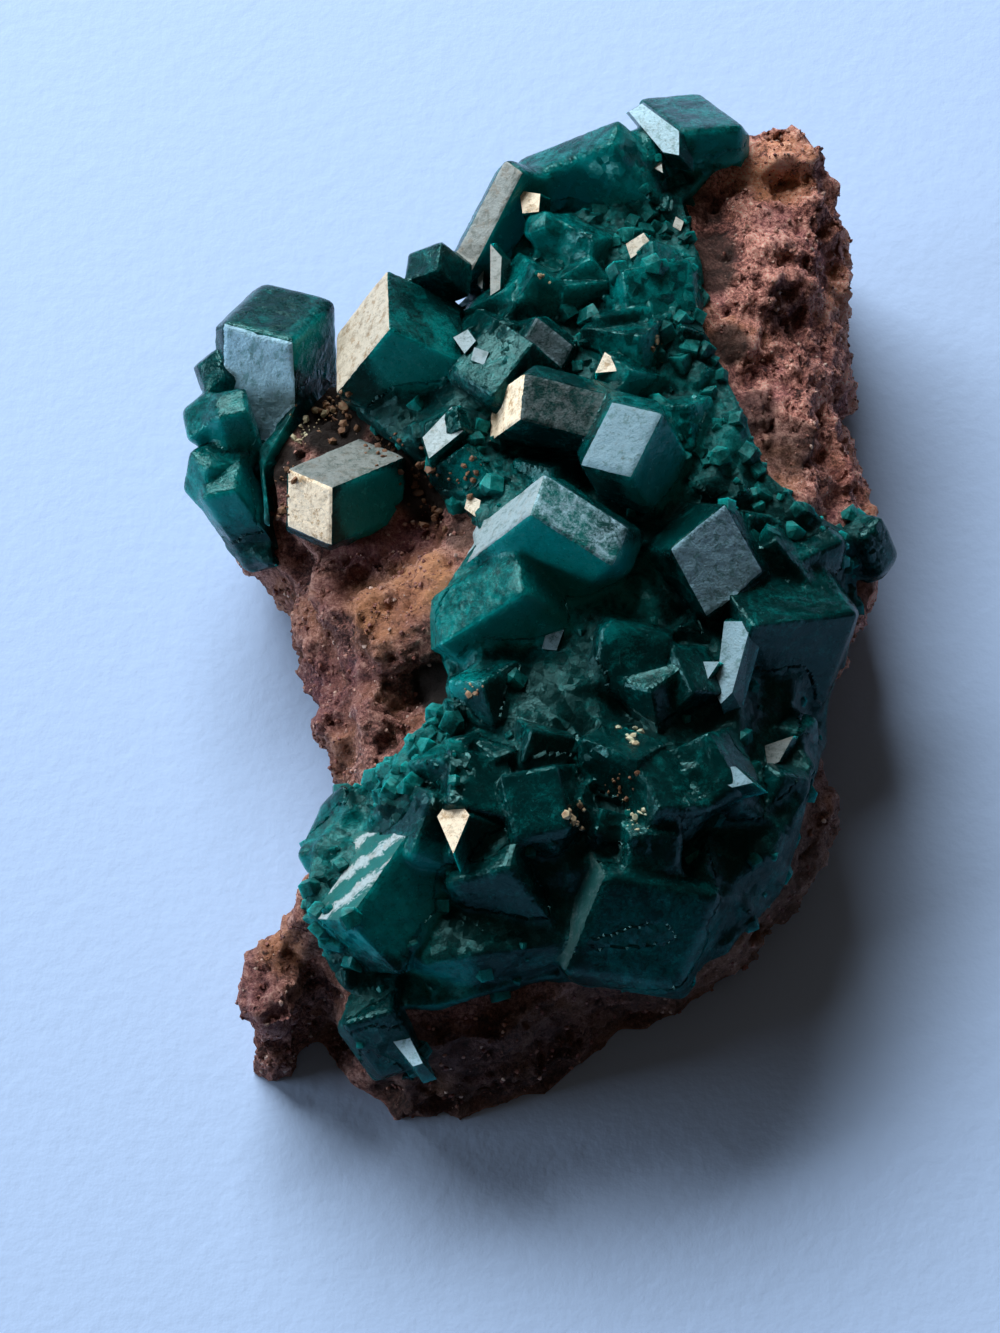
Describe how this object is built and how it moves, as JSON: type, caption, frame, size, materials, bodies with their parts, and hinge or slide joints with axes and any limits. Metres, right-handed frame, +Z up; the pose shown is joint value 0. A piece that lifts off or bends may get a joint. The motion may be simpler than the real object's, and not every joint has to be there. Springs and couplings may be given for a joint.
{
  "type": "dioptase crystal specimen",
  "caption": "Emerald-green dioptase crystals, stubby prisms with three-faced tips, grown as a crust over a porous reddish-brown lump of matrix rock.",
  "frame": {"origin": "bottom centre of the whole specimen, on the table", "axes": "+Z up; +Y along the longest side, away from the viewer of the picture; +X to the viewer's right"},
  "size_m": [0.0452, 0.066, 0.0225],
  "materials": {
    "matrix_brown": "dull, crumbly and porous",
    "dioptase_green": "glassy crystal faces, dark and only see-through at thin edges"
  },
  "bodies": {
    "root": {"matrix_rock": "matrix_brown", "main_crystal_crust": "dioptase_green", "left_crystal_cluster": "dioptase_green", "blocky_crystal": "dioptase_green", "stray_crystal": "dioptase_green"}
  },
  "joints": []
}
